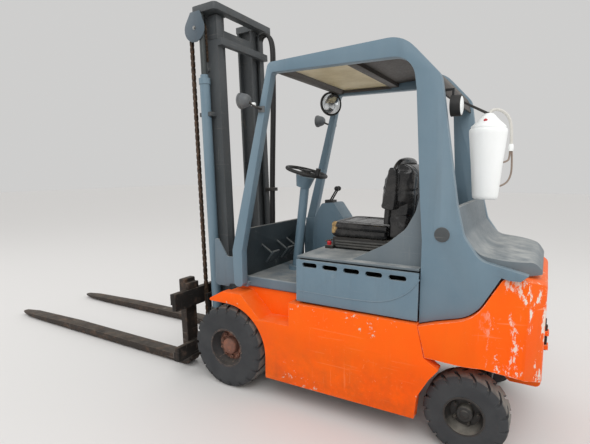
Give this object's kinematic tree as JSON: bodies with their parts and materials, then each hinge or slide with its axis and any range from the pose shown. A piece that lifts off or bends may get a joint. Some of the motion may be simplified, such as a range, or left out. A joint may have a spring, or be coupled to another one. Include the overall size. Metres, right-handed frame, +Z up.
{
  "type": "counterbalanced fork truck",
  "caption": "Ride-on electric counterbalanced fork truck with overhead guard, two-stage mast, side-shifted carriage and long forks; worn orange and blue-grey.",
  "frame": {"origin": "on the ground, under the middle of the overall length and width", "axes": "+X forward to the fork tips, +Y to the driver's left, +Z up"},
  "size_m": [4.9199, 1.312, 2.7795],
  "materials": {
    "orange_paint": "worn gloss",
    "blue_grey_paint": "worn satin",
    "grey_cover": "faded satin",
    "black_steel": "dull",
    "dark_steel": "rusty",
    "bright_rod": "oily",
    "rust_hub": "rusty",
    "tyre": "dusty",
    "battery_case": "dull",
    "seat_vinyl": "torn vinyl",
    "black_plastic": "matte",
    "tank_plastic": "milky",
    "window": "yellowed",
    "mirror": "dusty"
  },
  "bodies": {
    "chassis": {"frame": "black_steel", "battery": "battery_case", "counterweight": "orange_paint", "tow_pin": "dark_steel", "drive_axle": "dark_steel", "steer_axle": "black_steel", "cab_tub": "blue_grey_paint", "bulkhead": "black_steel", "rear_hood": "grey_cover", "side_panel_left": "orange_paint", "side_panel_right": "orange_paint", "side_cover_left": "grey_cover", "side_cover_right": "grey_cover", "guard_left": "blue_grey_paint", "guard_right": "blue_grey_paint", "roof": "blue_grey_paint", "roof_window": "window", "steering_column": "black_plastic", "side_console": "black_steel", "lever_set": "black_plastic", "work_lamp_left": "black_plastic", "work_lamp_right": "black_plastic", "mirror": "mirror", "rear_lamp": "black_plastic", "water_tank": "tank_plastic"},
    "lid": {"battery_lid": "grey_cover", "seat_base": "black_steel", "seat_cushion": "seat_vinyl", "seat_backrest": "seat_vinyl"},
    "steering_wheel": {"steering_wheel": "black_plastic"},
    "mast": {"mast_outer": "blue_grey_paint", "lift_barrel_left": "blue_grey_paint", "lift_barrel_right": "blue_grey_paint"},
    "inner_mast": {"mast_inner": "blue_grey_paint", "lift_rod_left": "bright_rod", "lift_rod_right": "bright_rod", "chain_rear_left": "dark_steel", "chain_rear_right": "dark_steel", "chain_front_left": "dark_steel", "chain_front_right": "dark_steel"},
    "carriage": {"carriage": "black_steel"},
    "sideshift": {"sideshift_frame": "dark_steel", "fork_left": "dark_steel", "fork_right": "dark_steel"},
    "tilt_barrels": {"tilt_barrel_left": "black_steel", "tilt_barrel_right": "black_steel"},
    "tilt_rods": {"tilt_rod_left": "bright_rod", "tilt_rod_right": "bright_rod"},
    "front_wheel_left": {"front_tyre_left": "tyre", "front_rim_left": "rust_hub"},
    "rear_wheel_left": {"rear_tyre_left": "tyre", "rear_rim_left": "black_steel"},
    "knuckle_left": {"knuckle_left": "black_steel"},
    "front_wheel_right": {"front_tyre_right": "tyre", "front_rim_right": "rust_hub"},
    "rear_wheel_right": {"rear_tyre_right": "tyre", "rear_rim_right": "black_steel"},
    "knuckle_right": {"knuckle_right": "black_steel"}
  },
  "joints": [
    {"name": "mast_tilt", "type": "hinge", "parent": "chassis", "child": "mast", "pos_m": [-0.468, 0, 0.292], "axis": [0, 1, 0], "range_deg": [-10.5, 3.5]},
    {"name": "mast_lift", "type": "slide", "parent": "mast", "child": "inner_mast", "axis": [0.0436, 0, 0.999], "range_m": [0, 1.9], "deforming": ["chain_rear_left", "chain_rear_right"]},
    {"name": "carriage_lift", "type": "slide", "parent": "inner_mast", "child": "carriage", "axis": [0.0436, 0, 0.999], "range_m": [0, 1.9], "deforming": ["chain_front_left", "chain_front_right"]},
    {"name": "fork_sideshift", "type": "slide", "parent": "carriage", "child": "sideshift", "axis": [0, 1, 0], "range_m": [-0.16, 0.04]},
    {"name": "battery_lid_hinge", "type": "hinge", "parent": "chassis", "child": "lid", "pos_m": [-1.926, 0, 1.22], "axis": [0, -1, 0], "range_deg": [0, 30]},
    {"name": "steering_wheel_turn", "type": "hinge", "parent": "chassis", "child": "steering_wheel", "pos_m": [-0.803, 0.01, 1.548], "axis": [-0.2588, 0, 0.9659], "continuous": true},
    {"name": "tilt_barrel_pivot", "type": "hinge", "parent": "chassis", "child": "tilt_barrels", "pos_m": [-0.968, 0, 0.6], "axis": [0, 1, 0], "range_deg": [-6, 6]},
    {"name": "tilt_rod_slide", "type": "slide", "parent": "tilt_barrels", "child": "tilt_rods", "axis": [0.998, 0, 0.0633], "range_m": [-0.09, 0.05]},
    {"name": "front_wheel_left_spin", "type": "hinge", "parent": "chassis", "child": "front_wheel_left", "pos_m": [-0.468, 0.49, 0.292], "axis": [0, 1, 0], "continuous": true},
    {"name": "knuckle_left_steer", "type": "hinge", "parent": "chassis", "child": "knuckle_left", "pos_m": [-2.079, 0.335, 0.225], "axis": [0, 0, 1], "range_deg": [-70, 70]},
    {"name": "rear_wheel_left_spin", "type": "hinge", "parent": "knuckle_left", "child": "rear_wheel_left", "pos_m": [-2.079, 0.4675, 0.225], "axis": [0, 1, 0], "continuous": true},
    {"name": "front_wheel_right_spin", "type": "hinge", "parent": "chassis", "child": "front_wheel_right", "pos_m": [-0.468, -0.49, 0.292], "axis": [0, 1, 0], "continuous": true},
    {"name": "knuckle_right_steer", "type": "hinge", "parent": "chassis", "child": "knuckle_right", "pos_m": [-2.079, -0.335, 0.225], "axis": [0, 0, 1], "range_deg": [-70, 70]},
    {"name": "rear_wheel_right_spin", "type": "hinge", "parent": "knuckle_right", "child": "rear_wheel_right", "pos_m": [-2.079, -0.4675, 0.225], "axis": [0, 1, 0], "continuous": true}
  ],
  "couplings": [
    {"joint": "carriage_lift", "follows": "mast_lift", "ratio": 1},
    {"joint": "knuckle_right_steer", "follows": "knuckle_left_steer", "ratio": 1},
    {"joint": "tilt_barrel_pivot", "follows": "mast_tilt", "ratio": 0.21711},
    {"joint": "tilt_rod_slide", "follows": "mast_tilt", "m_per_rad": 0.34439}
  ]
}
